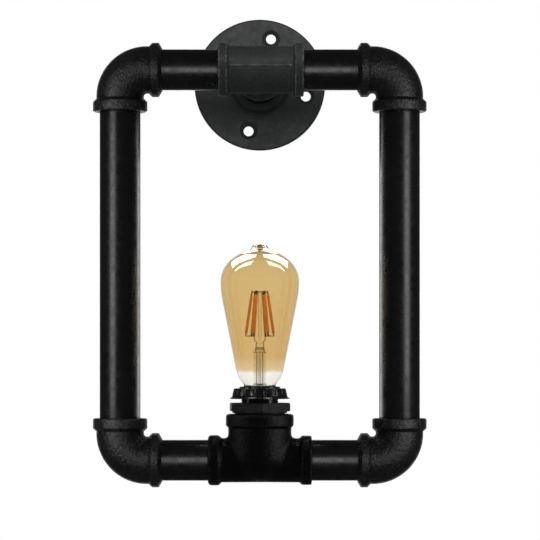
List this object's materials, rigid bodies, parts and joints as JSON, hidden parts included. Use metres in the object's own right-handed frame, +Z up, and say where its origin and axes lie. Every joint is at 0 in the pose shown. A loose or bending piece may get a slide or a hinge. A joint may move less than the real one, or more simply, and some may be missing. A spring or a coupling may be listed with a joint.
{
  "type": "pipe wall light",
  "caption": "Wall light of black pipe and cast fittings: a rectangle hangs from one round flange, with a teardrop filament lamp upright in its bottom tee.",
  "frame": {"origin": "centre of the wall flange's back face, on the wall", "axes": "+Z up, +Y into the wall, +X to the right as seen from the room"},
  "size_m": [0.2734, 0.1423, 0.3987],
  "materials": {
    "cast_iron": "satin black paint on sand-cast iron, faintly green",
    "elbow_iron": "black paint on rough sand-cast iron",
    "pipe_steel": "smooth semi-gloss black paint",
    "phenolic": "glossy black phenolic moulding",
    "brass": "bright pressed brass",
    "cap_metal": "bright pressed cap",
    "cap_glass": "opaque black glass",
    "solder": "dull solder",
    "amber_glass": "clear amber coating that fades out near the cap",
    "clear_glass": "clear glass",
    "phosphor": "orange phosphor coating, unlit",
    "nickel_wire": "dull nickel wire",
    "board": "green circuit board",
    "capacitor_sleeve": "dark blue sleeve",
    "sheath": "white PVC",
    "live_insulation": "brown PVC",
    "neutral_insulation": "blue PVC",
    "block_plastic": "natural nylon"
  },
  "bodies": {
    "wall_mount": {"wall_flange": "cast_iron", "wall_nipple": "pipe_steel"},
    "pipe_frame": {"wall_tee": "cast_iron", "lamp_tee": "cast_iron", "hex_bush": "cast_iron", "top_left_elbow": "elbow_iron", "top_right_elbow": "elbow_iron", "bottom_left_elbow": "elbow_iron", "bottom_right_elbow": "elbow_iron", "top_left_pipe": "pipe_steel", "top_right_pipe": "pipe_steel", "bottom_left_pipe": "pipe_steel", "bottom_right_pipe": "pipe_steel", "left_upright_pipe": "pipe_steel", "right_upright_pipe": "pipe_steel", "holder_skirt": "phenolic", "holder_base": "phenolic", "screw_shell": "brass", "centre_contact": "brass", "terminal_screws": "brass", "terminal_barrels": "brass", "terminal_block_screws": "brass", "inner_flex": "sheath", "live_core": "live_insulation", "neutral_core": "neutral_insulation", "terminal_block": "block_plastic"},
    "lamp_carrier": {"lamp_tip": "solder"},
    "lamp": {"lamp_cap": "cap_metal", "lamp_insulator": "cap_glass", "lamp_glass": "amber_glass", "glass_stem": "clear_glass", "filament_crown": "nickel_wire", "driver_board": "board", "driver_capacitor": "capacitor_sleeve", "filament_left_link": "nickel_wire", "filament_right_link": "nickel_wire", "left_lead_wire": "nickel_wire", "right_lead_wire": "nickel_wire", "led_filament_1": "phosphor", "led_filament_2": "phosphor", "led_filament_3": "phosphor", "led_filament_4": "phosphor", "led_filament_5": "phosphor", "led_filament_6": "phosphor"},
    "shade_ring": {"shade_ring": "phenolic"}
  },
  "joints": [
    {"name": "frame_level", "type": "hinge", "parent": "wall_mount", "child": "pipe_frame", "pos_m": [0, -0.11, 0], "axis": [0, 1, 0], "range_deg": [-15, 15]},
    {"name": "lamp_lift", "type": "slide", "parent": "pipe_frame", "child": "lamp_carrier", "axis": [0, 0, 1], "range_m": [0, 0.02545]},
    {"name": "lamp_turn", "type": "hinge", "parent": "lamp_carrier", "child": "lamp", "pos_m": [0, -0.11, -0.32], "axis": [0, 0, 1], "range_deg": [0, 2520]},
    {"name": "shade_ring_turn", "type": "hinge", "parent": "pipe_frame", "child": "shade_ring", "pos_m": [0, -0.11, -0.32], "axis": [0, 0, 1], "range_deg": [-600, 0]}
  ],
  "couplings": [
    {"joint": "lamp_lift", "follows": "lamp_turn", "m_per_rad": 0.0005775}
  ]
}
